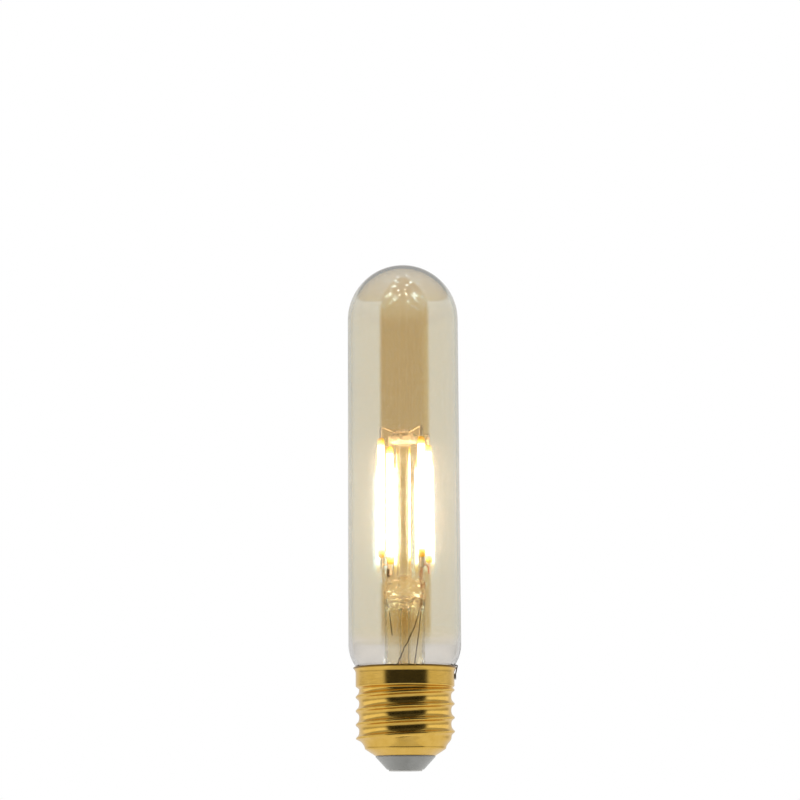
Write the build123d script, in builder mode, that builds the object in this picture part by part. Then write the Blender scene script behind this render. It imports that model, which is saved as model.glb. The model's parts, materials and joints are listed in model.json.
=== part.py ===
from build123d import *
import os
from math import cos, radians, sin, tan

# A slim tubular LED filament bulb with an E27 screw cap. All sizes are in millimetres.
# The axis of the bulb is Z, the face of the centre contact is at z = 0 and the dome points up.
# The front of the bulb faces -Y.

# Glass envelope
bulb_length = 136.5  # face of the centre contact to the top of the dome
bulb_diameter = 30.0
glass_wall = 0.9
shoulder_angle = 45.0  # slope of the shoulder, from the axis
shoulder_drop = 1.95  # depth below the cap's rim where the shoulder leaves the neck
neck_length = 12.8  # depth of the neck below the cap's rim
shoulder_share = 0.8  # share of the slope that the rounding above it takes
neck_share = 0.18  # share of the slope that the rounding below it takes

# Screw shell
cap_height = 27.3  # face of the centre contact to the rim of the shell
thread_diameter = 26.2  # over the crests
thread_depth = 0.95
thread_pitch = 3.629
thread_ridge_width = 2.6  # of one ridge, at its root
thread_start_z = 3.0  # height where the ridge's winding starts, on the +X side
thread_runout = 1.3  # height over which the lowest turn comes out of the nose
shell_sheet = 0.25
nose_height = 3.2  # of the plain nose below the thread
nose_diameter = 22.4  # at the top of the nose
nose_foot_diameter = 21.0  # at the nose's lower corner
nose_foot_height = 1.65  # of that corner above the underside of the shell
nose_corner = 1.3  # radius of that corner
nose_step = 1.1  # height of the slope between nose and thread root
nose_blend = 0.6  # radius between nose and slope
collar_height = 5.0
collar_step = 1.0  # height of the slope between thread root and collar
rim_diameter = 27.5
rim_flare_height = 1.6

# Insulator and centre contact
insulator_height = 4.0  # face of the centre contact to the underside of the shell
insulator_diameter = 15.8  # against the shell
insulator_foot_diameter = 9.7
insulator_edge = 0.3
insulator_lip = 0.5  # width of the ledge under the edge of the shell
insulator_flange = 0.3  # width of the ledge above the edge of the shell
insulator_floor = 1.3  # thickness of that ledge
board_seat_width = 0.7  # wall that carries the driver board
contact_diameter = 8.8
contact_thickness = 0.4
contact_edge = 0.2
contact_shank_diameter = 3.0
contact_shank_rise = 0.5  # above the insulator's floor

# Stem
stem_diameter = 10.6
stem_wall = 0.7
flare_land = 0.3  # flat width inside the seal with the neck
press_width = 11.0
press_thickness = 4.2
press_z = 44.3  # underside of the flat press
press_height = 4.2
press_edge = 1.0
press_slope = 4.6  # height over which the round tube becomes the flat press
wedge_width = 8.6  # hollow below the press, at its top
wedge_thickness = 1.2
mouth_ball_diameter = 5.3  # blown ball that holds the exhaust mouth
mouth_z = 48.4
mouth_diameter = 2.3
exhaust_diameter = 3.0
exhaust_bore = 1.7
exhaust_tip_z = 17.0
exhaust_tip_length = 2.6
exhaust_gap = 1.3  # length of the boss between the exhaust tube and the press

# Post and button
post_diameter = 3.9
post_z = 50.4
button_drop = 0.3  # of the button's underside, below the tops of the rear filaments
button_diameter = 7.35
button_height = 3.5
button_waist_diameter = 5.3
button_waist_height = 1.6
button_edge = 0.5
button_top_edge = 0.8

# Filaments
filament_length = 32.4
filament_width = 1.8
filament_thickness = 1.5
filament_edge = 0.5
filament_z = 55.2  # foot of the rear pair
front_lift = 0.6  # height of the front pair above the rear pair
ring_radius = 7.7
ring_angle = 33.5  # of the rear right filament, from +X
ring_shift = 0.4  # the ring of filaments stands off the axis by this, towards +X
tab_length = 2.8
tab_width = 0.9
tab_thickness = 0.3

# Wires
wire_diameter = 0.3
wire_bend = 0.5
weld_gap = 0.02
button_wire_radius = 1.5  # nearest that the support wires come to the axis
support_rise = 1.4  # height of a support wire's bend above its place in the button
support_z = 1.8  # height of the support wires in the button, above its underside
junction_x = -4.3
junction_z = 53.9  # top of the junction wire's riser
junction_stub_z = 35.6
junction_stub_x = -3.3
lead_front_x = 4.2
lead_front_z = 52.6
lead_rear_x = 4.7
lead_rear_z = 54.9
lead_offset = 0.7  # of each lead wire from the middle of the press
lead_front_knee = (2.5, -2.6, 37.6)
lead_front_run = (-1.9, -2.9, 28.0)
lead_rear_knee = (4.1, 1.2, 38.0)
lead_rear_run = (2.7, 1.7, 28.4)
sleeve_length = 2.1
sleeve_wall = 0.2
sleeve_z = 51.2
sleeve_clearance = 0.03

# Driver and its wires
board_thickness = 1.0
board_drop = 5.3  # depth of the board's underside below the seal of neck and stem
board_hole_clearance = 0.1
lead_tail = 0.5  # of a wire below the board
lead_front_end = (-2.0, -4.0)
lead_rear_end = (2.4, 1.6)
lead_end_z = 20.0  # where the lead wires turn straight down to the board
chip_size = (3.9, 4.9, 1.5)
chip_place = (4.7, -3.0)
bridge_size = (4.0, 4.6, 2.2)
bridge_place = (-5.4, -0.4)
capacitor_diameter = 4.0
capacitor_length = 7.0
capacitor_y = 5.2
resistor_diameter = 2.0
resistor_length = 5.5
resistor_y = -6.6
body_edge = 0.3  # rounding of the driver's components
contact_wire_diameter = 0.6
side_wire_diameter = 0.3
side_wire_clearance = 0.03
side_wire_bend = 0.2
side_wire_board_x = 6.6
side_wire_level = 1.8  # height of its outward run above the board
side_wire_fold = 2.6  # length outside the rim
solder_width = 0.9
solder_length = 1.6
solder_cover = 0.1  # over the wire

# Cement
cement_length = 8.5
cement_clearance = 0.05
seat_clearance = 0.02
neck_gap = 0.65  # between the neck and the thread's inside

# Radii and heights that follow from these
bulb_r = bulb_diameter / 2
crest_r = thread_diameter / 2
root_r = crest_r - thread_depth
shell_inner_r = root_r - shell_sheet
neck_r = shell_inner_r - neck_gap
rim_r = rim_diameter / 2
collar_z = cap_height - collar_height
seal_z = cap_height - neck_length
neck_top_z = cap_height - shoulder_drop
shoulder_slope = (bulb_r - neck_r) / sin(radians(shoulder_angle))
shoulder_z = neck_top_z + shoulder_slope * cos(radians(shoulder_angle))
dome_z = bulb_length - bulb_r
turn_tangent = tan(radians(shoulder_angle) / 2)
neck_round = neck_share * shoulder_slope
shoulder_round = shoulder_share * shoulder_slope
insulator_r = insulator_diameter / 2
shell_hole_r = insulator_r - insulator_lip
flange_r = shell_hole_r + insulator_flange
nose_z = insulator_height + nose_height
flange_z = insulator_height + shell_sheet + seat_clearance
floor_z = flange_z + insulator_floor
board_z = seal_z - board_drop
board_top_z = board_z + board_thickness
stem_r = stem_diameter / 2
flare_bend = neck_r - glass_wall - flare_land - stem_r
slope_z = press_z - press_slope
exhaust_top_z = press_z - exhaust_gap
button_z = filament_z + filament_length - button_drop
wire_r = wire_diameter / 2
tab_wire_radius = ring_radius - tab_thickness / 2 - wire_r - weld_gap

filament_angles = {
    "front_left": 180 + ring_angle,
    "front_right": 270 + ring_angle,
    "rear_left": 90 + ring_angle,
    "rear_right": ring_angle,
}


def filament_foot(place):
    """Height of the foot of one filament."""
    lift = front_lift if place.startswith("front") else 0
    return filament_z + lift


def ring_point(place, radius, z):
    """A point on the ring of filaments, at the angle of one of them."""
    angle = radians(filament_angles[place])
    return (ring_shift + radius * cos(angle), radius * sin(angle), z)


def button_point(place, z):
    """The point in the button where the support wire of one filament turns."""
    angle = radians(filament_angles[place])
    return (button_wire_radius * cos(angle), button_wire_radius * sin(angle), z)


def bent_wire(points, bends, diameter):
    """A round wire along straight runs with rounded bends."""
    with BuildPart() as wire:
        with BuildLine() as route:
            FilletPolyline(*points, radius=bends)
        with BuildSketch(Plane(origin=route.line @ 0, z_dir=route.line % 0)):
            Circle(diameter / 2)
        sweep(path=route.line)
    return wire.part


def save(part, name):
    """Label one piece and write its file."""
    part.label = name
    export_step(part, f"parts/{name}.step")


os.makedirs("parts", exist_ok=True)

# Glass envelope: neck, shoulder, tube and dome, blown in one piece
with BuildPart() as glass_envelope:
    with BuildSketch(Plane.XZ):
        with BuildLine():
            FilletPolyline(
                (neck_r, seal_z),
                (neck_r, neck_top_z),
                (bulb_r, shoulder_z),
                (bulb_r, dome_z),
                radius=[neck_round / turn_tangent, shoulder_round / turn_tangent],
            )
            CenterArc((0, dome_z), bulb_r, 0, 90)
            Polyline((0, bulb_length), (0, seal_z), (neck_r, seal_z))
        make_face()
    revolve(axis=Axis.Z)
    offset(amount=-glass_wall, openings=faces().sort_by(Axis.Z)[0])
save(glass_envelope.part, "glass_envelope")

# Wires of the mount, from the press up to the filaments
junction_wire = bent_wire(
    [
        (junction_stub_x, -lead_offset, junction_stub_z),
        (junction_x, 0, press_z - wire_bend),
        (junction_x, 0, junction_z),
        ring_point("rear_left", tab_wire_radius, junction_z),
        ring_point("rear_left", tab_wire_radius, filament_foot("rear_left") - wire_bend / 2),
    ],
    wire_bend,
    wire_diameter,
)
save(junction_wire, "junction_wire")

link_y = -wire_diameter - weld_gap
link_z = junction_z + wire_diameter
link_end_z = filament_foot("front_left") - tab_length + wire_r
junction_link = bent_wire(
    [
        (junction_x, link_y, sleeve_z + weld_gap),
        (junction_x, link_y, link_z),
        ring_point("front_left", tab_wire_radius, link_z),
        ring_point("front_left", tab_wire_radius, link_end_z),
    ],
    wire_bend,
    wire_diameter,
)
save(junction_link, "junction_link")

# Crimp sleeve round the riser of the junction wire and the tail of the link
with BuildPart() as junction_sleeve:
    with BuildSketch(Plane.XY.offset(sleeve_z)):
        with Locations((junction_x, link_y / 2)):
            hole_thickness = wire_diameter + 2 * sleeve_clearance
            hole_width = hole_thickness - link_y
            SlotOverall(hole_width + 2 * sleeve_wall, hole_thickness + 2 * sleeve_wall, rotation=90)
            SlotOverall(hole_width, hole_thickness, rotation=90, mode=Mode.SUBTRACT)
    extrude(amount=sleeve_length)
save(junction_sleeve.part, "junction_sleeve")

board_tail_z = board_z - lead_tail
lead_wire_front = bent_wire(
    [
        ring_point("front_right", tab_wire_radius, filament_foot("front_right") - wire_bend),
        ring_point("front_right", tab_wire_radius, lead_front_z + wire_bend),
        (lead_front_x, -lead_offset, lead_front_z),
        (lead_front_x, -lead_offset, press_z - wire_bend),
        lead_front_knee,
        lead_front_run,
        (*lead_front_end, lead_end_z),
        (*lead_front_end, board_tail_z),
    ],
    wire_bend,
    wire_diameter,
)
save(lead_wire_front, "lead_wire_front")

lead_wire_rear = bent_wire(
    [
        ring_point("rear_right", tab_wire_radius, filament_foot("rear_right") - tab_length + wire_r),
        ring_point("rear_right", tab_wire_radius, lead_rear_z - wire_bend),
        (lead_rear_x, lead_offset, lead_rear_z),
        (lead_rear_x, lead_offset, press_z + wire_bend),
        lead_rear_knee,
        lead_rear_run,
        (*lead_rear_end, lead_end_z),
        (*lead_rear_end, board_tail_z),
    ],
    wire_bend,
    wire_diameter,
)
save(lead_wire_rear, "lead_wire_rear")


def support_wire(left, right):
    """The wire that holds and joins the tops of two filaments, bent through the button."""
    lift = filament_foot(left) - filament_z
    held_z = button_z + support_z + lift
    bend_z = held_z + support_rise
    return bent_wire(
        [
            ring_point(left, tab_wire_radius, held_z),
            ring_point(left, tab_wire_radius, bend_z),
            button_point(left, held_z),
            button_point(right, held_z),
            ring_point(right, tab_wire_radius, bend_z),
            ring_point(right, tab_wire_radius, held_z),
        ],
        wire_bend,
        wire_diameter,
    )


support_wire_front = support_wire("front_left", "front_right")
save(support_wire_front, "support_wire_front")
support_wire_rear = support_wire("rear_left", "rear_right")
save(support_wire_rear, "support_wire_rear")

# Stem tube: flare sealed to the neck, tube, and the press that seals the wires
with BuildPart() as stem_tube:
    flare_centre = (stem_r + flare_bend, seal_z + flare_bend)
    inner_r = stem_r - stem_wall
    with BuildSketch(Plane.XZ):
        with BuildLine():
            CenterArc(flare_centre, flare_bend, 180, 90)
            CenterArc(flare_centre, flare_bend + stem_wall, 180, 90)
            Polyline(
                (stem_r + flare_bend, seal_z),
                (neck_r, seal_z),
                (neck_r, seal_z - stem_wall),
                (stem_r + flare_bend, seal_z - stem_wall),
            )
            Polyline(
                (stem_r, flare_centre[1]),
                (stem_r, slope_z),
                (inner_r, slope_z),
                (inner_r, flare_centre[1]),
            )
        make_face()
    revolve(axis=Axis.Z)
    with BuildSketch(Plane.XY.offset(slope_z)):
        Circle(stem_r)
    with BuildSketch(Plane.XY.offset(press_z)):
        SlotOverall(press_width, press_thickness)
    loft()
    with BuildSketch(Plane.XY.offset(slope_z)):
        Circle(inner_r)
    with BuildSketch(Plane.XY.offset(press_z)):
        SlotOverall(wedge_width, wedge_thickness)
    loft(mode=Mode.SUBTRACT)
    with BuildSketch(Plane.XY.offset(press_z)):
        SlotOverall(press_width, press_thickness)
    extrude(amount=press_height)
    chamfer(edges().group_by(Axis.Z)[-1], length=press_edge)
    with Locations((0, 0, mouth_z)):
        Sphere(mouth_ball_diameter / 2)
    split(bisect_by=Plane.XY.offset(post_z), keep=Keep.BOTTOM)
    with BuildSketch(Plane.XY.offset(exhaust_top_z)):
        Circle(exhaust_diameter / 2)
    extrude(amount=exhaust_gap)
    with BuildSketch(Plane.XY.offset(exhaust_top_z)):
        Circle(exhaust_bore / 2)
    extrude(amount=mouth_z - exhaust_top_z, mode=Mode.SUBTRACT)
    with BuildSketch(Plane.XZ):
        with Locations((0, mouth_z)):
            Circle(mouth_diameter / 2)
    extrude(amount=mouth_ball_diameter, mode=Mode.SUBTRACT)
    for sealed in (junction_wire, lead_wire_front, lead_wire_rear):
        add(sealed, mode=Mode.SUBTRACT)
save(stem_tube.part, "stem_tube")

# Exhaust tube, melted shut at its lower end
with BuildPart() as exhaust_tube:
    tip_top_z = exhaust_tip_z + exhaust_tip_length
    with BuildSketch(Plane.XZ):
        with BuildLine():
            Polyline(
                (0, tip_top_z),
                (exhaust_bore / 2, tip_top_z + exhaust_bore / 2),
                (exhaust_bore / 2, exhaust_top_z),
                (exhaust_diameter / 2, exhaust_top_z),
                (exhaust_diameter / 2, tip_top_z),
            )
            Spline(
                (exhaust_diameter / 2, tip_top_z),
                (0, exhaust_tip_z),
                tangents=((0, -1), (-1, 0)),
            )
            Line((0, exhaust_tip_z), (0, tip_top_z))
        make_face()
    revolve(axis=Axis.Z)
save(exhaust_tube.part, "exhaust_tube")

# Centre post with the button that holds the support wires
with BuildPart() as centre_post:
    post_r = post_diameter / 2
    button_top_z = button_z + button_height
    waist_z = button_top_z - button_waist_height
    with BuildSketch(Plane.XZ):
        with BuildLine():
            FilletPolyline(
                (0, post_z),
                (post_r, post_z),
                (post_r, button_z),
                (button_diameter / 2, button_z),
                (button_diameter / 2, waist_z),
                (button_waist_diameter / 2, waist_z + button_waist_height / 3),
                (button_waist_diameter / 2, button_top_z),
                (0, button_top_z),
                radius=[0, 0, button_edge, button_edge, 0, button_top_edge],
            )
            Line((0, button_top_z), (0, post_z))
        make_face()
    revolve(axis=Axis.Z)
    for held in (support_wire_front, support_wire_rear):
        add(held, mode=Mode.SUBTRACT)
save(centre_post.part, "centre_post")

# Filaments, each with a bare metal tab at both ends
for place, angle in filament_angles.items():
    foot_z = filament_foot(place)
    outward = (cos(radians(angle)), sin(radians(angle)), 0)
    foot = Plane(origin=ring_point(place, ring_radius, foot_z), x_dir=outward)
    with BuildPart() as filament:
        with BuildSketch(foot):
            RectangleRounded(filament_thickness, filament_width, filament_edge)
        extrude(amount=filament_length)
        ends = faces().filter_by(Axis.Z).edges()
        chamfer(ends, length=filament_edge / 2)
    save(filament.part, f"filament_{place}")
    for end, level in (("bottom", -tab_length), ("top", filament_length)):
        with BuildPart() as tab:
            with BuildSketch(foot.offset(level)):
                Rectangle(tab_thickness, tab_width)
            extrude(amount=tab_length)
        save(tab.part, f"tab_{place}_{end}")

# Ridge of the thread: coming out of the slope above the nose, and wound up into the collar
with BuildPart() as thread_ridge:
    nose_middle_r = nose_diameter / 2 - shell_sheet / 2
    root_middle_r = root_r - shell_sheet / 2
    ridge_base = root_r - nose_middle_r
    ridge_top_z = collar_z - collar_step / 8
    with BuildLine() as winding:
        Helix(thread_pitch, collar_z - thread_start_z, root_r, center=(0, 0, thread_start_z))
    with BuildSketch(Plane(origin=winding.line @ 0, x_dir=(1, 0, 0), z_dir=winding.line % 0)):
        with BuildLine():
            ThreePointArc((0, -thread_ridge_width / 2), (thread_depth, 0), (0, thread_ridge_width / 2))
            Polyline(
                (0, thread_ridge_width / 2),
                (-ridge_base, thread_ridge_width / 2),
                (-ridge_base, -thread_ridge_width / 2),
                (0, -thread_ridge_width / 2),
            )
        make_face()
    sweep(path=winding.line, is_frenet=True)
    with BuildSketch(Plane.XZ):
        Polygon(
            (shell_hole_r, thread_start_z - thread_ridge_width),
            (rim_r, thread_start_z - thread_ridge_width),
            (rim_r, nose_z + thread_runout),
            (crest_r, nose_z + thread_runout),
            (nose_middle_r, nose_z),
            (shell_hole_r, nose_z),
            align=None,
        )
        Polygon(
            (shell_hole_r, nose_z),
            (nose_middle_r, nose_z),
            (root_middle_r, nose_z + nose_step),
            (root_middle_r, collar_z - collar_step),
            (crest_r, collar_z + shell_sheet),
            (shell_hole_r, collar_z + shell_sheet),
            align=None,
        )
        Polygon(
            (shell_hole_r, ridge_top_z),
            (rim_r, ridge_top_z),
            (rim_r, ridge_top_z + thread_ridge_width),
            (shell_hole_r, ridge_top_z + thread_ridge_width),
            align=None,
        )
    revolve(axis=Axis.Z, mode=Mode.SUBTRACT)

# Screw shell: drawn from sheet, with the thread rolled into it
with BuildPart() as screw_shell:
    collar_bend = collar_step / 2
    with BuildSketch(Plane.XZ):
        with BuildLine():
            FilletPolyline(
                (shell_hole_r, insulator_height),
                (insulator_r, insulator_height),
                (nose_foot_diameter / 2, insulator_height + nose_foot_height),
                (nose_diameter / 2, nose_z),
                (root_r, nose_z + nose_step),
                (root_r, collar_z - collar_step),
                (crest_r, collar_z),
                (crest_r, cap_height - rim_flare_height),
                (rim_r, cap_height),
                radius=[0, nose_corner, nose_blend, 0, collar_bend, collar_bend, rim_flare_height / 2],
            )
            offset(amount=shell_sheet, side=Side.LEFT)
        make_face()
    revolve(axis=Axis.Z)
    add(thread_ridge.part)
save(screw_shell.part, "screw_shell")

# Insulator, moulded round the edge of the shell's floor, with a seat for the driver board
with BuildPart() as cap_insulator:
    with BuildSketch(Plane.XZ):
        Polygon(
            (contact_shank_diameter / 2 + seat_clearance, contact_thickness),
            (insulator_foot_diameter / 2, contact_thickness),
            (insulator_r, insulator_height - insulator_edge),
            (insulator_r, insulator_height - seat_clearance),
            (shell_hole_r - seat_clearance, insulator_height - seat_clearance),
            (shell_hole_r - seat_clearance, flange_z),
            (flange_r, flange_z),
            (flange_r, board_z),
            (flange_r - board_seat_width, board_z),
            (flange_r - board_seat_width, floor_z),
            (contact_shank_diameter / 2 + seat_clearance, floor_z),
            align=None,
        )
    revolve(axis=Axis.Z)
    foot_edge = edges().filter_by(GeomType.CIRCLE).group_by(Axis.Z)[0].sort_by(SortBy.RADIUS)[-1]
    fillet(foot_edge, radius=insulator_edge)
save(cap_insulator.part, "cap_insulator")

# Centre contact: a disc on a hollow rivet
with BuildPart() as centre_contact:
    with BuildSketch():
        Circle(contact_diameter / 2)
    extrude(amount=contact_thickness)
    fillet(edges().group_by(Axis.Z)[0], radius=contact_edge)
    with BuildSketch(Plane.XY.offset(contact_thickness)):
        Circle(contact_shank_diameter / 2)
    extrude(amount=floor_z + contact_shank_rise - contact_thickness)
    with BuildSketch(Plane.XY.offset(contact_thickness)):
        Circle(contact_wire_diameter / 2 + seat_clearance)
    extrude(amount=floor_z + contact_shank_rise, mode=Mode.SUBTRACT)
save(centre_contact.part, "centre_contact")

# Wire from the driver board down into the contact's rivet
with BuildPart() as contact_wire:
    with BuildSketch(Plane.XY.offset(contact_thickness)):
        Circle(contact_wire_diameter / 2)
    extrude(amount=board_top_z + lead_tail - contact_thickness)
save(contact_wire.part, "contact_wire")

# Wire from the driver board up beside the neck and over the rim
side_r = side_wire_diameter / 2
side_gap = side_r + side_wire_clearance
side_inner_x = shell_inner_r - side_gap
slope_x = neck_r + side_gap / cos(radians(shoulder_angle))
rim_inner_x = rim_r - shell_sheet - side_gap
rim_over_z = cap_height + 2 * side_gap
side_wire = bent_wire(
    [
        (side_wire_board_x, 0, board_z - lead_tail),
        (side_wire_board_x, 0, board_top_z + side_wire_level),
        (side_inner_x, 0, board_top_z + side_wire_level),
        (side_inner_x, 0, neck_top_z + side_inner_x - slope_x),
        (rim_inner_x, 0, neck_top_z + rim_inner_x - slope_x),
        (rim_inner_x, 0, rim_over_z),
        (rim_r + side_gap, 0, rim_over_z),
        (crest_r + side_gap, 0, cap_height - side_wire_fold),
    ],
    side_wire_bend,
    side_wire_diameter,
)
save(side_wire, "side_wire")

# Driver board on its seat, with a hole for each wire
with BuildPart() as driver_board:
    with BuildSketch(Plane.XY.offset(board_z)):
        Circle(flange_r)
        with Locations(lead_front_end, lead_rear_end):
            Circle(wire_r + board_hole_clearance, mode=Mode.SUBTRACT)
        with Locations((side_wire_board_x, 0)):
            Circle(side_r + board_hole_clearance, mode=Mode.SUBTRACT)
        Circle(contact_wire_diameter / 2 + board_hole_clearance, mode=Mode.SUBTRACT)
    extrude(amount=board_thickness)
save(driver_board.part, "driver_board")


def chip(size, place):
    """A moulded component that lies flat on the board."""
    width, depth, height = size
    with BuildPart() as body:
        with BuildSketch(Plane.XY.offset(board_top_z)):
            with Locations(place):
                Rectangle(width, depth)
        extrude(amount=height)
        chamfer(edges().group_by(Axis.Z)[-1], length=body_edge)
    return body.part


def lying_can(diameter, length, y):
    """A round component that lies on the board along X."""
    with BuildPart() as can:
        with BuildSketch(Plane.YZ.offset(-length / 2)):
            with Locations((y, board_top_z + diameter / 2 + seat_clearance)):
                Circle(diameter / 2)
        extrude(amount=length)
        chamfer(edges().filter_by(GeomType.CIRCLE), length=body_edge)
    return can.part


save(chip(chip_size, chip_place), "driver_chip")
save(chip(bridge_size, bridge_place), "bridge_rectifier")
save(lying_can(capacitor_diameter, capacitor_length, capacitor_y), "smoothing_capacitor")
save(lying_can(resistor_diameter, resistor_length, resistor_y), "fuse_resistor")

# Solder that holds the side wire to the outside of the collar
with BuildPart() as side_solder:
    with BuildSketch(Plane.YZ.offset(root_r)):
        with Locations((0, cap_height - side_wire_fold)):
            SlotOverall(solder_length, solder_width, rotation=90)
    extrude(amount=crest_r + 2 * side_gap + solder_cover - root_r)
    with BuildSketch():
        Circle(crest_r + seat_clearance)
    extrude(amount=bulb_length, mode=Mode.SUBTRACT)
    add(side_wire, mode=Mode.SUBTRACT)
save(side_solder.part, "side_solder")

# Cement between the neck and the shell
with BuildPart() as cap_cement:
    cement_low_z = neck_top_z - cement_length
    cement_top_z = neck_top_z + neck_round * cos(radians(shoulder_angle))
    cement_r = neck_r + cement_clearance
    cement_top_r = cement_r + neck_round * sin(radians(shoulder_angle)) + cement_clearance
    cement_outer_r = shell_inner_r - cement_clearance
    collar_inner_r = crest_r - shell_sheet - cement_clearance
    with BuildSketch(Plane.XZ):
        Polygon(
            (cement_r, cement_low_z),
            (cement_outer_r, cement_low_z),
            (cement_outer_r, collar_z - collar_step),
            (collar_inner_r, collar_z + collar_step),
            (collar_inner_r, cement_top_z),
            (cement_top_r, cement_top_z),
            (cement_r, neck_top_z - neck_round),
            align=None,
        )
    revolve(axis=Axis.Z)
    add(side_wire, mode=Mode.SUBTRACT)
save(cap_cement.part, "cap_cement")
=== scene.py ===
import json
import math

import bpy
import numpy as np
from mathutils import Euler, Matrix, Vector
from mathutils import noise as mathutils_noise


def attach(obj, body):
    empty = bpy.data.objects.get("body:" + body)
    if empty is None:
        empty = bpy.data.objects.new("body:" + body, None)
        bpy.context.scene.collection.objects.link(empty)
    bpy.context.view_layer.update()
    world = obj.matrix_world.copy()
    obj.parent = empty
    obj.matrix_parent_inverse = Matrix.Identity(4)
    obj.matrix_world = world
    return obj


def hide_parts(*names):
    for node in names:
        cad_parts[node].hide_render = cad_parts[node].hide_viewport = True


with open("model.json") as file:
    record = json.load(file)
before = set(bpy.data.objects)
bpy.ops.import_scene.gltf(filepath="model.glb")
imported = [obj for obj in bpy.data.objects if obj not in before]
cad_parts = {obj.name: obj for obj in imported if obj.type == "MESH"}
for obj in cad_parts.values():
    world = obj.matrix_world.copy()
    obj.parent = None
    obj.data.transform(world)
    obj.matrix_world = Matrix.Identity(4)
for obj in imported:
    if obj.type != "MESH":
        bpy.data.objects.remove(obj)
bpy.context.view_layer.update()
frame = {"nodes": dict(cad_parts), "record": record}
nodes = frame["nodes"]

# Lengths below are in millimetres unless a comment says otherwise; Blender's are metres.
MM = 0.001

# Screw shell. Crest, pitch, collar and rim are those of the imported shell. The thread's valleys are
# rounded as in rolled sheet, and the nose has a small groove, so these differ a little from it.
thread_crest_r = 13.1
thread_depth = 0.95
thread_pitch = 3.629
thread_start_z = 3.0  # middle of the ridge on the +X side
thread_line = [
    # share of a turn upwards, and of the depth
    (0.0, 1.0),
    (0.05, 1.0),
    (0.27, 0.10),
    (0.75, 0.0),
    (0.95, 1.0),
    (1.0, 1.0),
]
thread_runout = 1.3  # height over which the ridge comes out of the nose
thread_rows = 130
shell_columns = 160
shell_sheet = 0.25
shell_floor_z = 4.0
shell_hole_r = 7.4
nose_z = 7.2  # here the ridge starts
nose_line = [
    # radius and height
    (7.9, 4.0),
    (10.3, 5.5),
    (10.75, 5.85),
    (10.75, 6.35),
    (11.3, 7.2),
    (12.15, 8.3),
    (12.15, 9.3),
]
collar_z = 22.3  # from here up the collar has its full width
collar_step = 1.0  # height of the slope under it
rim_z = 27.3
rim_r = 13.75
rim_flare = 1.6  # height of the flare with the rolled edge
flare_curve = 1.8  # power of the flare's curve
flare_rows = 8
rim_bead = 0.3  # radius of the rolled edge
bead_rows = 6

# Filaments
filament_steps = [
    # length from the end, and the colour and strength of its light up to there
    (0.9, (1.0, 0.60, 0.05), 0.8),
    (1.5, (1.0, 0.69, 0.13), 1.35),
    (2.1, (1.0, 0.70, 0.26), 3.5),
    (2.7, (1.0, 0.76, 0.50), 12.0),
    (40.0, (1.0, 0.79, 0.72), 50.0),
]
phosphor_shades = [
    # darker and lighter colour of the phosphor at the ends, and what is added towards the middle
    ((0.95, 0.5, 0.06), (0.0, 0.3, 0.3)),
    ((1.0, 0.6, 0.1), (0.0, 0.3, 0.4)),
]
filament_bead = 0.04  # share by which the strip narrows between its chips
filament_chips = 28
rows_per_chip = 6
filament_columns = 20
filament_end = 0.7  # the ends are round over this length
filament_tip = 0.02  # square of the share of the section that the very end keeps
filament_power = 0.6  # below 1 the section is squarer than an oval

# Glass
coating_low_z = 33.5  # the amber coating fades out between these heights
coating_high_z = 37.5
crown_low_z = 123.0  # and grows thinner towards the crown between these
crown_high_z = 131.0
crown_z = 136.5
clear_shade = (0.84, 0.815, 0.78)
amber_shade = (0.80, 0.745, 0.565)
crown_shade = (0.855, 0.832, 0.755)
coating_ior = 2.6
coating_gloss = (0.38, 0.67, 1.0)  # the coating throws back more blue than red
clear_gloss = (0.25, 0.25, 0.25)  # and bare glass much less
haze_scale = 12000.0  # specks per metre
haze_steps = [(0.70, 0.0), (0.71, 0.20), (0.76, 0.26), (0.82, 0.5)]  # level of the noise, roughness

# Stem. Its tube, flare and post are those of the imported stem. The press sits up to 2 mm higher,
# where the photograph has it.
stem_r = 5.3
stem_wall = 0.7
flare_r = 11.25
flare_bend = 4.75
seal_z = 14.5
slope_z = 41.4  # here the round tube starts to turn into the flat press
press_z = 46.0
press_top_z = 50.3
press_half = (5.5, 2.1)
press_edge = 1.0
hollow_half = (4.3, 0.6)  # of the hollow below the press, at its top
hollow_top_z = 45.9
hollow_dome = 1.2  # height of its round top
ball_r = 2.65  # blown ball round the exhaust mouth
ball_z = 49.2
post_z = 51.6
post_r = 1.95
button_line = [
    # radius and height
    (1.95, 85.5),
    (1.95, 87.3),
    (3.675, 87.3),
    (3.675, 89.2),
    (2.65, 89.7),
    (2.65, 90.8),
    (0.02, 90.8),
]
button_top_z = 90.8
mouth_r = 1.15
mouth_depth = 1.2
lump_size = 0.85  # of the swells that the flame left
lump_height = 0.34
lumps = [
    # height, and the share of the swells there
    (41.4, 0.0),
    (44.2, 1.0),
    (51.2, 1.0),
    (52.7, 0.0),
    (86.0, 0.0),
    (87.5, 0.8),
    (90.6, 0.8),
    (90.8, 0.0),
]
drops = [
    # melted drops on the press: x, z, radius and height
    (-2.4, 47.0, 0.75, 1.0),
    (2.9, 47.0, 0.75, 1.0),
    (-3.3, 46.4, 0.4, 0.45),
    (3.7, 46.2, 0.4, 0.45),
    (-1.5, 46.4, 0.35, 0.4),
    (1.8, 46.4, 0.35, 0.4),
    (4.0, 48.9, 0.55, 0.5),
    (3.0, 49.4, 0.45, 0.4),
    (-3.3, 49.2, 0.6, 0.5),
    (-4.2, 47.4, 0.5, 0.5),
    (-1.4, 49.6, 0.4, 0.35),
    (1.6, 49.6, 0.4, 0.35),
    (4.9, 46.3, 0.6, 0.5),
    (2.2, 45.1, 0.5, 0.4),
    (0.2, 48.1, 0.5, 0.4),
    (-1.0, 45.9, 0.5, 0.4),
]
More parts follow.
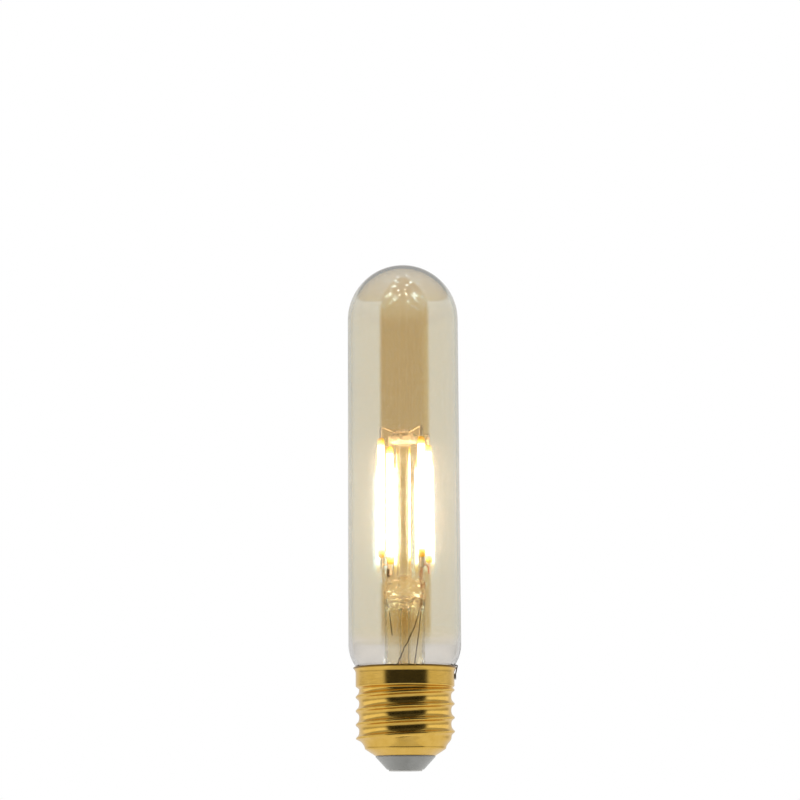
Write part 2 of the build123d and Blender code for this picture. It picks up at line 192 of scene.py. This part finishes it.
clear_steps = [
    # share of the height from the slope to the button's top, and of the light that passes there
    (0.0, 1.0),
    (0.06, 0.94),
    (0.22, 0.94),
    (0.26, 1.0),
    (0.90, 1.0),
    (0.93, 0.6),
]
painted_press_glow = 0.12  # painted glow: plain emission standing in for the light that the press leads out of the filaments
painted_glow_heights = (45.2, 51.8)  # the painted glow is on the press's outside between these heights
painted_glow_shade = (1.0, 0.80, 0.50, 1.0)
stem_columns = 180
slot_steps = 721  # points along a slot before they are spaced evenly
dome_rows = 16
hollow_rows = 10
tube_inside_rows = 8
bend_rows = 10
tube_rows = 12
press_rows = 54
press_edge_rows = 8
press_top_rows = 16
post_rows = 12
row_gap = 0.2  # from the last row of one form to the first of the next
tube_gap = 2.0  # the same on the straight tube
post_gap = 0.3
button_gap = 0.5
pole_angle = 0.01  # radians; the hollow's first row stays open by it
level_slack = 0.01  # rows this near to the press's top belong to it

# Wires and brass
lead_burnt_z = 42.0  # the wires are dark below this and bare above the next
lead_bare_z = 45.0
rim_painted_shadow_depths = (0.7, 0.35)  # painted shadow of the gap between rim and glass: the brass is painted dark between these depths below the rim
rim_painted_shadow = (0.24, 0.13, 0.02, 1.0)
wire_finishes = {
    # two colours that the metal wanders between, and its roughness
    "tab_steel": ((0.92, 0.82, 0.66), (0.97, 0.90, 0.76), 0.8),
    "sleeve_metal": ((0.10, 0.05, 0.02), (0.18, 0.09, 0.04), 0.5),
    "contact_metal": ((0.60, 0.59, 0.56), (0.70, 0.69, 0.66), 0.6),
    "solder": ((0.42, 0.42, 0.41), (0.55, 0.55, 0.54), 0.4),
}
lead_finishes = {
    # colour where the wire is burnt, colour where it is bare, and roughness
    "steel_wire": ((0.14, 0.09, 0.035), (0.85, 0.74, 0.52), 0.5),
    "copper_wire": ((0.14, 0.085, 0.03), (0.66, 0.28, 0.15), 0.4),
}

# Moulded, baked and lacquered bodies
mould_grain = 1200.0  # grains per metre
moulded_finishes = {
    # two colours that the body wanders between, its roughness and the weight of its gloss coat
    "insulator_plastic": ((0.33, 0.33, 0.305), (0.37, 0.37, 0.345), 0.35, 0.4),
    "cement": ((0.46, 0.38, 0.26), (0.58, 0.50, 0.36), 0.8, 0.0),
    "board": ((0.01, 0.09, 0.03), (0.015, 0.12, 0.04), 0.45, 0.0),
    "component_black": ((0.012, 0.012, 0.012), (0.03, 0.03, 0.03), 0.5, 0.0),
    "resistor_body": ((0.20, 0.32, 0.36), (0.26, 0.40, 0.44), 0.4, 0.0),
}

# Camera; angles in degrees
camera_place = (0.0, -595.0, -10.3)
camera_pitch = 10.44  # above the horizon
camera_yaw = 0.085
camera_roll = -0.35
camera_lens = 100.4
camera_sensor = 36.0
camera_clip = 10.0

# Light: edges of the studio that reflections see, in degrees, and levels of its parts
dark_turn = 3.0  # the middle of the unlit part, to the right of the camera
dark_high = 26.0  # above the horizon
dark_edge = 4.0
softbox_near = 51.5  # sideways from the middle of the unlit part
softbox_far = 135.0
softbox_low = -14.0  # above the horizon
softbox_high = 28.0
softbox_foot = (3.4, 4.6)  # its dimmer foot ends between these
floor_low = -80.0
behind = 90.0  # sideways; beyond it a direction is behind the bulb
light_edge = 5.0
floor_edge = 8.0
softbox_level = 1.0
softbox_foot_level = 0.5
backdrop_level = 0.75
ceiling_level = 0.43
dark_ceiling_level = 0.05  # over the unlit part
floor_level = 0.62
side_floor_level = 0.8
below_level = 0.95  # far down behind the bulb; in front of it that is dark
dark_level = 0.006

# Floor
floor_drop = 0.02  # below the foot of the bulb, so that the two faces don't meet
floor_size = 3000.0
floor_shades = ((0.86, 0.86, 0.86), (0.90, 0.90, 0.90))
floor_glow = 0.45

white = (1.0, 1.0, 1.0, 1.0)


def new_material(name):
    """A new node material, its node tree and its Principled shader."""
    material = bpy.data.materials.new(name)
    material.use_nodes = True
    tree = material.node_tree
    shader = tree.nodes["Principled BSDF"]
    return material, tree, shader


def node(tree, kind, **settings):
    """Adds a node; a setting is an attribute, or else the value of the input of that name."""
    made = tree.nodes.new(kind)
    for key, value in settings.items():
        if hasattr(made, key):
            setattr(made, key, value)
        else:
            made.inputs[key].default_value = value
    return made


def ramp(tree, stops, source):
    """A colour ramp over source, with stops of (position, colour)."""
    made = tree.nodes.new("ShaderNodeValToRGB")
    elements = made.color_ramp.elements
    while len(elements) < len(stops):
        elements.new(0.5)
    for element, (position, colour) in zip(elements, stops):
        element.position = position
        element.color = (*colour, 1.0)
    tree.links.new(source, made.inputs["Fac"])
    return made.outputs["Color"]


def grey(stops):
    """Stops of (position, level) as the stops of a colour ramp."""
    return [(position, (level,) * 3) for position, level in stops]


def height(tree, low, high):
    """0 below the height low and 1 above high, with a smooth step between, in the object's frame."""
    place = tree.nodes.new("ShaderNodeTexCoord")
    split = tree.nodes.new("ShaderNodeSeparateXYZ")
    tree.links.new(place.outputs["Object"], split.inputs[0])
    spread = node(tree, "ShaderNodeMapRange", interpolation_type="SMOOTHSTEP")
    spread.inputs["From Min"].default_value = low * MM
    spread.inputs["From Max"].default_value = high * MM
    tree.links.new(split.outputs["Z"], spread.inputs["Value"])
    return spread.outputs["Result"]


def rise(tree, low, high):
    """Grows evenly from 0 at the height low to 1 at high."""
    spread = height(tree, low, high).node
    spread.interpolation_type = "LINEAR"
    return spread.outputs["Result"]


def noise(tree, scale, stretch=(1, 1, 1), detail=3.0):
    """Noise in the object's frame. scale is in features per metre."""
    place = tree.nodes.new("ShaderNodeTexCoord")
    size = node(tree, "ShaderNodeMapping")
    size.inputs["Scale"].default_value = stretch
    tree.links.new(place.outputs["Object"], size.inputs["Vector"])
    made = node(tree, "ShaderNodeTexNoise", Scale=scale, Detail=detail)
    tree.links.new(size.outputs["Vector"], made.inputs["Vector"])
    return made.outputs["Fac"]


def wander(tree, low, high, scale, levels=(0.35, 0.65)):
    """A colour that wanders between two, reached at these levels of a noise."""
    return ramp(tree, list(zip(levels, (low, high))), noise(tree, scale))


def bump(tree, shader, source, strength, distance):
    """Feeds source into the shader's normal as relief. distance is in metres."""
    made = node(tree, "ShaderNodeBump", Strength=strength, Distance=distance)
    tree.links.new(source, made.inputs["Height"])
    tree.links.new(made.outputs["Normal"], shader.inputs["Normal"])


def amber_glass():
    """Blown glass with a thin amber film that stops above the cap, and a fine haze."""
    material, tree, shader = new_material("amber_glass")
    shader.inputs["IOR"].default_value = coating_ior
    shader.inputs["Transmission Weight"].default_value = 1.0
    shades = [
        (coating_low_z, clear_shade),
        (coating_high_z, amber_shade),
        (crown_low_z, amber_shade),
        (crown_high_z, crown_shade),
    ]
    stops = [(z / crown_z, shade) for z, shade in shades]
    colour = ramp(tree, stops, rise(tree, 0.0, crown_z))
    tree.links.new(colour, shader.inputs["Base Color"])
    film = rise(tree, coating_low_z, coating_high_z)
    gloss = ramp(tree, [(0.0, clear_gloss), (1.0, coating_gloss)], film)
    tree.links.new(gloss, shader.inputs["Specular Tint"])
    haze = ramp(tree, grey(haze_steps), noise(tree, haze_scale, detail=0.0))
    tree.links.new(haze, shader.inputs["Roughness"])
    waves = noise(tree, scale=55.0, detail=1.0)
    bump(tree, shader, waves, strength=0.05, distance=0.0004)
    return material


def stem_glass(name, glow):
    """Clear drawn glass that turned a little milky where it was worked in the flame; a glow above 0
    paints light on it as plain emission.
    """
    material, tree, shader = new_material(name)
    # painted glow: plain emission, none on the stem's own glass
    shader.inputs["Emission Color"].default_value = painted_glow_shade
    shader.inputs["Emission Strength"].default_value = glow
    shader.inputs["Roughness"].default_value = 0.0
    shader.inputs["IOR"].default_value = 1.5
    colour = wander(tree, (0.97, 0.91, 0.76), (0.99, 0.95, 0.84), scale=150.0, levels=(0.3, 0.7))
    tree.links.new(colour, shader.inputs["Base Color"])
    clear = ramp(tree, grey(clear_steps), rise(tree, slope_z, button_top_z))
    tree.links.new(clear, shader.inputs["Transmission Weight"])
    streaks = noise(tree, scale=120.0, stretch=(1, 1, 0.15), detail=1.0)
    bump(tree, shader, streaks, strength=0.15, distance=0.0004)
    return material


def brass():
    """Bright rolled brass with fine marks round the shell, a little tarnish, and a painted shadow of
    the gap between rim and glass.
    """
    material, tree, shader = new_material("shell_brass")
    shader.inputs["Metallic"].default_value = 1.0
    colour = wander(tree, (0.79, 0.49, 0.095), (0.85, 0.54, 0.12), scale=420.0)
    # painted shadow: the brass colour is mixed to a dark shade just below the rim
    edge = node(tree, "ShaderNodeMix", data_type="RGBA")
    low, high = [rim_z - depth for depth in rim_painted_shadow_depths]
    tree.links.new(height(tree, low, high), edge.inputs["Factor"])
    tree.links.new(colour, edge.inputs["A"])
    edge.inputs["B"].default_value = rim_painted_shadow
    tree.links.new(edge.outputs["Result"], shader.inputs["Base Color"])
    rough = ramp(tree, grey([(0.3, 0.17), (0.75, 0.21)]), noise(tree, scale=900.0))
    tree.links.new(rough, shader.inputs["Roughness"])
    marks = noise(tree, scale=500.0, stretch=(1, 1, 5))
    bump(tree, shader, marks, strength=0.04, distance=0.0002)
    return material


def wire_metal(name, low, high, rough):
    """Drawn or pressed metal whose colour wanders between two."""
    material, tree, shader = new_material(name)
    shader.inputs["Metallic"].default_value = 1.0
    tree.links.new(wander(tree, low, high, scale=700.0), shader.inputs["Base Color"])
    shader.inputs["Roughness"].default_value = rough
    marks = noise(tree, scale=1500.0, stretch=(1, 1, 0.2))
    bump(tree, shader, marks, strength=0.1, distance=0.0001)
    return material


def lead_metal(name, burnt, bare, rough):
    """Lead wire: bare where the press keeps the air off it, and burnt dark below."""
    material, tree, shader = new_material(name)
    shader.inputs["Metallic"].default_value = 1.0
    colour = ramp(tree, [(0.0, burnt), (1.0, bare)], height(tree, lead_burnt_z, lead_bare_z))
    tree.links.new(colour, shader.inputs["Base Color"])
    spread = grey([(0.3, rough * 0.8), (0.7, rough * 1.3)])
    tree.links.new(ramp(tree, spread, noise(tree, scale=1500.0)), shader.inputs["Roughness"])
    return material


def phosphor(name, low, high, glow, strength):
    """Phosphor in silicone, with the light that comes out of it."""
    material, tree, shader = new_material(name)
    tree.links.new(wander(tree, low, high, scale=1800.0), shader.inputs["Base Color"])
    shader.inputs["Roughness"].default_value = 0.45
    shader.inputs["Emission Color"].default_value = (*glow, 1.0)
    shader.inputs["Emission Strength"].default_value = strength
    bump(tree, shader, noise(tree, scale=2500.0), strength=0.2, distance=0.0001)
    return material


def moulded(name, low, high, rough, coat):
    """A moulded, baked or lacquered body with a fine grain."""
    material, tree, shader = new_material(name)
    tree.links.new(wander(tree, low, high, scale=mould_grain / 4), shader.inputs["Base Color"])
    spread = grey([(0.3, rough * 0.85), (0.7, rough * 1.15)])
    tree.links.new(ramp(tree, spread, noise(tree, mould_grain)), shader.inputs["Roughness"])
    shader.inputs["Coat Weight"].default_value = coat
    shader.inputs["Coat Roughness"].default_value = 0.08
    bump(tree, shader, noise(tree, mould_grain), strength=0.08, distance=0.0001)
    return material


materials = {
    "amber_glass": amber_glass(),
    "stem_glass": stem_glass("stem_glass", glow=0.0),
    "shell_brass": brass(),
}
for name, finish in wire_finishes.items():
    materials[name] = wire_metal(name, *finish)
for name, finish in lead_finishes.items():
    materials[name] = lead_metal(name, *finish)
for name, finish in moulded_finishes.items():
    materials[name] = moulded(name, *finish)

phosphors = []
for number, (_, glow, strength) in enumerate(filament_steps):
    pale = number / len(filament_steps)
    low, high = [[a + b * pale for a, b in zip(end, more)] for end, more in phosphor_shades]
    phosphors.append(phosphor(f"phosphor_{number}", low, high, glow, strength))

for entry in frame["record"]["subparts"]:
    if entry["material_slot"] in materials:
        mesh = nodes[entry["node"]].data
        mesh.materials.clear()
        mesh.materials.append(materials[entry["material_slot"]])


def grid_mesh(name, points, rows, columns, close_rows=False):
    """A smooth mesh from a grid of points that closes round its columns."""
    count = rows if close_rows else rows - 1
    faces = []
    for i in range(count):
        for j in range(columns):
            k = (j + 1) % columns
            low, up = i * columns, (i + 1) % rows * columns
            faces.append((low + j, low + k, up + k, up + j))
    mesh = bpy.data.meshes.new(name)
    mesh.from_pydata(points, [], faces)
    mesh.polygons.foreach_set("use_smooth", [True] * len(faces))
    mesh.update()
    made = bpy.data.objects.new(name, mesh)
    bpy.context.scene.collection.objects.link(made)
    return made


def place_piece(piece, slot, *replaced):
    """Puts a piece on the one body, in place of CAD nodes."""
    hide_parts(*replaced)
    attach(piece, "root")


def smooth(value):
    """A smooth step from 0 to 1."""
    t = min(max(value, 0.0), 1.0)
    return t * t * (3 - 2 * t)


def rounded(line, passes=3):
    """The line with its corners cut again and again, which makes them round."""
    for _ in range(passes):
        cut = [line[0]]
        for (x0, y0), (x1, y1) in zip(line, line[1:]):
            cut.append((0.75 * x0 + 0.25 * x1, 0.75 * y0 + 0.25 * y1))
            cut.append((0.25 * x0 + 0.75 * x1, 0.25 * y0 + 0.75 * y1))
        line = cut + [line[-1]]
    return line


thread_shares, thread_steps = zip(*rounded(thread_line))
nose_outline = rounded(nose_line)
nose_radii, nose_heights = zip(*nose_outline)


def shell_line(turn):
    """Outside of the shell at one place round it, turn from 0 to 1: points of radius and height."""
    line = [(shell_hole_r, shell_floor_z)]
    line.extend(point for point in nose_outline if point[1] < nose_z)
    collar_top = rim_z - rim_flare
    for z in np.linspace(nose_z, collar_top, thread_rows):
        phase = (z - thread_start_z) / thread_pitch - turn
        fade = smooth((z - nose_z) / thread_runout)
        thread = thread_depth * fade * np.interp(phase % 1, thread_shares, thread_steps)
        collar = thread_depth * smooth((z - collar_z + collar_step) / collar_step)
        line.append((np.interp(z, nose_heights, nose_radii) + max(thread, collar), z))
    flare_top = rim_z - rim_bead
    for t in np.linspace(0, 1, flare_rows)[1:]:
        r = thread_crest_r + (rim_r - thread_crest_r) * t ** flare_curve
        line.append((r, collar_top + (flare_top - collar_top) * t))
    for a in np.linspace(0, math.pi / 2, bead_rows)[1:]:
        line.append((rim_r - rim_bead * (1 - math.cos(a)), flare_top + rim_bead * math.sin(a)))
    return line


def screw_shell():
    """The shell as rolled sheet: the thread shows on the inside too."""
    outlines = []
    for j in range(shell_columns):
        outer = np.array(shell_line(j / shell_columns))
        along = np.gradient(outer, axis=0)
        along /= np.linalg.norm(along, axis=1)[:, None]
        inner = outer + shell_sheet * np.stack([-along[:, 1], along[:, 0]], axis=1)
        inner[0] = (shell_hole_r, shell_floor_z + shell_sheet)
        outlines.append(np.concatenate([outer, inner[::-1]]))
    rows = len(outlines[0])
    points = []
    for i in range(rows):
        for j in range(shell_columns):
            r, z = outlines[j][i]
            a = 2 * math.pi * j / shell_columns
            points.append((r * math.cos(a) * MM, r * math.sin(a) * MM, z * MM))
    made = grid_mesh("screw_shell_rolled", points, rows, shell_columns, close_rows=True)
    made.data.materials.append(materials["shell_brass"])
    place_piece(made, "shell_brass", "screw_shell")


def filament(place):
    """One filament: a strip with a soft section that narrows between its chips, and dim ends."""
    name = f"filament_{place}"
    cad = nodes[name].data
    points = np.array([v.co for v in cad.vertices])
    low_z, high_z = points[:, 2].min(), points[:, 2].max()
    middle = (points.min(axis=0) + points.max(axis=0)) / 2
    flat = points[:, :2] - middle[:2]
    spread = np.linalg.eigh(flat.T @ flat)[1]
    wide, thin = spread[:, 1], spread[:, 0]
    half_wide = np.abs(flat @ wide).max()
    half_thin = np.abs(flat @ thin).max()
    rows = rows_per_chip * filament_chips
    grid = []
    for i in range(rows):
        t = i / (rows - 1)
        z = low_z + (high_z - low_z) * t
        from_end = min(t, 1 - t) * (high_z - low_z) / MM
        cap = math.sqrt(max(filament_tip, 1 - max(0.0, 1 - from_end / filament_end) ** 2))
        swell = 1 - filament_bead * (0.5 - 0.5 * math.cos(2 * math.pi * filament_chips * t))
        for j in range(filament_columns):
            a = 2 * math.pi * j / filament_columns
            c, s = math.cos(a), math.sin(a)
            u = math.copysign(abs(c) ** filament_power, c) * half_wide * cap * swell
            v = math.copysign(abs(s) ** filament_power, s) * half_thin * cap * swell
            spot = middle[:2] + u * wide + v * thin
            grid.append((spot[0], spot[1], z))
    made = grid_mesh(f"{name}_lit", grid, rows, filament_columns)
    mesh = made.data
    for material in phosphors:
        mesh.materials.append(material)
    for face in mesh.polygons:
        from_end = min(face.center.z - low_z, high_z - face.center.z) / MM
        face.material_index = sum(from_end > length for length, _, _ in filament_steps)
    place_piece(made, "phosphor", name)


def circle_row(radius, z):
    """Points round the axis at one height."""
    a = 2 * np.pi * np.arange(stem_columns) / stem_columns
    return np.stack([radius * np.cos(a), radius * np.sin(a), np.full(stem_columns, z)], axis=1)


def slot_row(half, z):
    """Points round a slot with round ends, evenly spaced along it."""
    half_x, half_y = half
    a = np.linspace(0, 2 * np.pi, slot_steps)
    x = np.sign(np.cos(a)) * (half_x - half_y) + half_y * np.cos(a)
    y = half_y * np.sin(a)
    along = np.concatenate([[0.0], np.cumsum(np.hypot(np.diff(x), np.diff(y)))])
    places = along[-1] * np.arange(stem_columns) / stem_columns
    even_x = np.interp(places, along, x)
    even_y = np.interp(places, along, y)
    return np.stack([even_x, even_y, np.full(stem_columns, z)], axis=1)


def press_row(radius, half, z):
    """A row between the round tube and a slot, by how far z is up the slope."""
    t = min(max((z - slope_z) / (press_z - slope_z), 0.0), 1.0)
    return (1 - t) * circle_row(radius, z) + t * slot_row(half, z)


def stem_inside():
    """Rows of the hollow, from its closed top down to the flare."""
    inner_r = stem_r - stem_wall
    bend_r = flare_bend + stem_wall
    bend_z = seal_z + flare_bend
    rows = []
    for a in np.linspace(pole_angle, math.pi / 2, dome_rows):
        z = hollow_top_z - hollow_dome * (1 - math.cos(a))
        rows.append(press_row(inner_r, hollow_half, z) * (math.sin(a), math.sin(a), 1))
    dome_foot_z = rows[-1][0][2]
    for z in np.linspace(dome_foot_z - row_gap, slope_z, hollow_rows):
        rows.append(press_row(inner_r, hollow_half, z))
    for z in np.linspace(slope_z - tube_gap, bend_z, tube_inside_rows):
        rows.append(circle_row(inner_r, z))
    for a in np.linspace(0, math.pi / 2, bend_rows)[1:]:
        r = stem_r + flare_bend - bend_r * math.cos(a)
        rows.append(circle_row(r, bend_z - bend_r * math.sin(a)))
    rows.append(circle_row(flare_r, seal_z - stem_wall))
    return rows


def stem_outside():
    """Rows of the outside, from the flare up over the press and the post to the button."""
    bend_z = seal_z + flare_bend
    edge_z = press_top_z - press_edge
    rows = [circle_row(flare_r, seal_z)]
    for a in np.linspace(math.pi / 2, 0, bend_rows):
        r = stem_r + flare_bend * (1 - math.cos(a))
        rows.append(circle_row(r, seal_z + flare_bend * (1 - math.sin(a))))
    for z in np.linspace(bend_z + tube_gap, slope_z - row_gap, tube_rows):
        rows.append(circle_row(stem_r, z))
    for z in np.linspace(slope_z, edge_z, press_rows):
        rows.append(press_row(stem_r, press_half, z))
    for a in np.linspace(0, math.pi / 2, press_edge_rows)[1:]:
        half = [h - press_edge * (1 - math.cos(a)) for h in press_half]
        rows.append(slot_row(half, edge_z + press_edge * math.sin(a)))
    top = rows[-1]
    for u in np.linspace(0, 1, press_top_rows)[1:]:
        rows.append((1 - u) * top + u * circle_row(post_r, press_top_z))
    for z in np.linspace(post_z + post_gap, button_line[0][1] - button_gap, post_rows):
        rows.append(circle_row(post_r, z))
    rows.extend(circle_row(r, z) for r, z in rounded(button_line))
    return rows


def with_ball(rows):
    """The rows with the press blown out to a ball round the exhaust mouth."""
    grid = np.array(rows)
    x, y, z = grid[..., 0], grid[..., 1], grid[..., 2]
    sides = np.maximum(ball_r ** 2 - x ** 2 - (z - ball_z) ** 2, 0.0)
    blown_y = np.sign(y) * np.maximum(np.abs(y), np.sqrt(sides))
    wide = np.where(z < press_top_z - level_slack, blown_y, y)
    above = np.sqrt(np.maximum(ball_r ** 2 - x ** 2 - y ** 2, 0.0))
    blown_z = np.maximum(z, np.minimum(ball_z + above, post_z))
    tall = np.where(np.abs(z - press_top_z) < level_slack, blown_z, z)
    return np.stack([x, wide, tall], axis=2)


def swollen(rows):
    """The rows with the ball, the exhaust mouth, the drops and the lumps that the flame left."""
    grid = with_ball(rows)
    x, y, z = grid[..., 0], grid[..., 1], grid[..., 2]
    up = np.gradient(grid, axis=0)
    round_about = np.roll(grid, -1, axis=1) - np.roll(grid, 1, axis=1)
    outward = np.cross(round_about, up)
    outward /= np.maximum(np.linalg.norm(outward, axis=2), 1e-9)[..., None]
    front = y < 0
    push = np.zeros(x.shape)
    for row, column in np.ndindex(x.shape):
        place = Vector(grid[row, column]) / lump_size
        push[row, column] = lump_height * mathutils_noise.noise(place)
    push *= np.interp(z, *zip(*lumps))
    for drop_x, drop_z, drop_r, drop_height in drops:
        off = ((x - drop_x) ** 2 + (z - drop_z) ** 2) / (2 * drop_r ** 2)
        push += np.where(front, drop_height * np.exp(-off), 0.0)
    off = (x ** 2 + (z - ball_z) ** 2) / mouth_r ** 2
    push -= np.where(front, mouth_depth * np.exp(-off ** 2), 0.0)
    return grid + push[..., None] * outward


def stem():
    """The stem as worked in the flame: flare, tube, lumpy press, post and button in one."""
    inside, outside = np.array(stem_inside()), swollen(stem_outside())
    rows = np.concatenate([inside, outside])
    points = (rows.reshape(-1, 3) * MM).tolist()
    made = grid_mesh("stem_worked", points, len(rows), stem_columns)
    made.data.materials.append(materials["stem_glass"])
    # a second material paints a glow on the press's outside faces
    made.data.materials.append(stem_glass("stem_press_painted_glow", painted_press_glow))
    low, high = painted_glow_heights
    for face in made.data.polygons:
        lit = low < face.center.z / MM < high and face.index > len(inside) * stem_columns
        face.material_index = int(lit)
    place_piece(made, "stem_glass", "stem_tube", "centre_post")


screw_shell()
stem()
for where in ("front_left", "front_right", "rear_left", "rear_right"):
    filament(where)


def studio():
    """White where it is seen straight or through glass; bounced light sees the studio's parts."""
    world = bpy.data.worlds.new("studio")
    bpy.context.scene.world = world
    world.use_nodes = True
    tree = world.node_tree
    link = tree.links.new

    def feed(socket, value):
        """Sets a socket to a number, or links it to an output."""
        if isinstance(value, (int, float)):
            socket.default_value = value
        else:
            link(value, socket)

    def math_node(operation, *values):
        made = node(tree, "ShaderNodeMath", operation=operation)
        for socket, value in zip(made.inputs, values):
            feed(socket, value)
        return made.outputs[0]

    def step(value, low, high):
        """0 below the angle low and 1 above high, both in degrees."""
        made = node(tree, "ShaderNodeMapRange", interpolation_type="SMOOTHSTEP")
        made.inputs["From Min"].default_value = math.radians(low)
        made.inputs["From Max"].default_value = math.radians(high)
        link(value, made.inputs["Value"])
        return made.outputs["Result"]

    def edge(value, angle, half):
        """A step with its middle at the angle."""
        return step(value, angle - half, angle + half)

    def blend(factor, first, second):
        made = node(tree, "ShaderNodeMix", data_type="FLOAT")
        link(factor, made.inputs["Factor"])
        feed(made.inputs["A"], first)
        feed(made.inputs["B"], second)
        return made.outputs["Result"]

    split = tree.nodes.new("ShaderNodeSeparateXYZ")
    link(tree.nodes.new("ShaderNodeTexCoord").outputs["Generated"], split.inputs[0])
    away = math_node("MULTIPLY", split.outputs["Y"], -1.0)
    around = math_node("ARCTAN2", split.outputs["X"], away)
    aside = math_node("ABSOLUTE", math_node("SUBTRACT", around, math.radians(dark_turn)))
    upward = math_node("ARCSINE", split.outputs["Z"])
    downward = math_node("MULTIPLY", upward, -1.0)

    past_near = edge(aside, softbox_near, light_edge)
    past_side = edge(aside, behind, light_edge)
    past_far = edge(aside, softbox_far, light_edge)
    over_dark = edge(upward, dark_high, dark_edge)
    over_softbox = edge(upward, softbox_high, light_edge / 2)
    below = edge(downward, -softbox_low, floor_edge)
    under = edge(downward, -floor_low, light_edge)

    middle = blend(over_dark, dark_level, dark_ceiling_level)
    softbox = blend(step(upward, *softbox_foot), softbox_foot_level, softbox_level)
    sides = blend(over_softbox, blend(past_far, softbox, backdrop_level), ceiling_level)
    below_light = blend(past_side, dark_level, below_level)
    floor_light = blend(under, blend(past_near, floor_level, side_floor_level), below_light)
    bright = blend(below, blend(past_near, middle, sides), floor_light)

    path = tree.nodes.new("ShaderNodeLightPath")
    depth = math_node("ADD", path.outputs["Glossy Depth"], path.outputs["Diffuse Depth"])
    bounced = math_node("MINIMUM", depth, 1.0)
    background = tree.nodes["Background"]
    background.inputs["Color"].default_value = white
    link(blend(bounced, 1.0, bright), background.inputs["Strength"])


def floor():
    """A pale floor that is clear from below; bounced light passes it and sees the studio."""
    material, tree, shader = new_material("floor")
    colour = wander(tree, *floor_shades, scale=40.0, levels=(0.3, 0.7))
    tree.links.new(colour, shader.inputs["Base Color"])
    shader.inputs["Roughness"].default_value = 0.8
    shader.inputs["Emission Color"].default_value = white
    shader.inputs["Emission Strength"].default_value = floor_glow
    mix = tree.nodes.new("ShaderNodeMixShader")
    tree.links.new(tree.nodes.new("ShaderNodeNewGeometry").outputs["Backfacing"], mix.inputs[0])
    tree.links.new(shader.outputs[0], mix.inputs[1])
    tree.links.new(tree.nodes.new("ShaderNodeBsdfTransparent").outputs[0], mix.inputs[2])
    tree.links.new(mix.outputs[0], tree.nodes["Material Output"].inputs["Surface"])
    bpy.ops.mesh.primitive_plane_add(size=floor_size * MM, location=(0, 0, -floor_drop * MM))
    made = bpy.context.object
    made.name = "floor"
    made.data.materials.append(material)
    made.visible_glossy = False
    made.visible_transmission = False
    made.visible_diffuse = False
    made.visible_shadow = False


def camera():
    """The view of the photograph."""
    data = bpy.data.cameras.new("camera")
    data.lens = camera_lens
    data.sensor_width = camera_sensor
    data.clip_start = camera_clip * MM
    made = bpy.data.objects.new("camera", data)
    bpy.context.scene.collection.objects.link(made)
    turn = Euler((math.radians(90 + camera_pitch), 0, math.radians(camera_yaw))).to_matrix().to_4x4()
    roll = Matrix.Rotation(math.radians(camera_roll), 4, "Z")
    made.matrix_world = Matrix.Translation(Vector(camera_place) * MM) @ turn @ roll
    bpy.context.scene.camera = made


studio()
floor()
camera()

scene = bpy.context.scene
scene.view_settings.view_transform = "Standard"
scene.cycles.max_bounces = 24
scene.cycles.transmission_bounces = 20
scene.cycles.glossy_bounces = 8
scene.cycles.transparent_max_bounces = 16
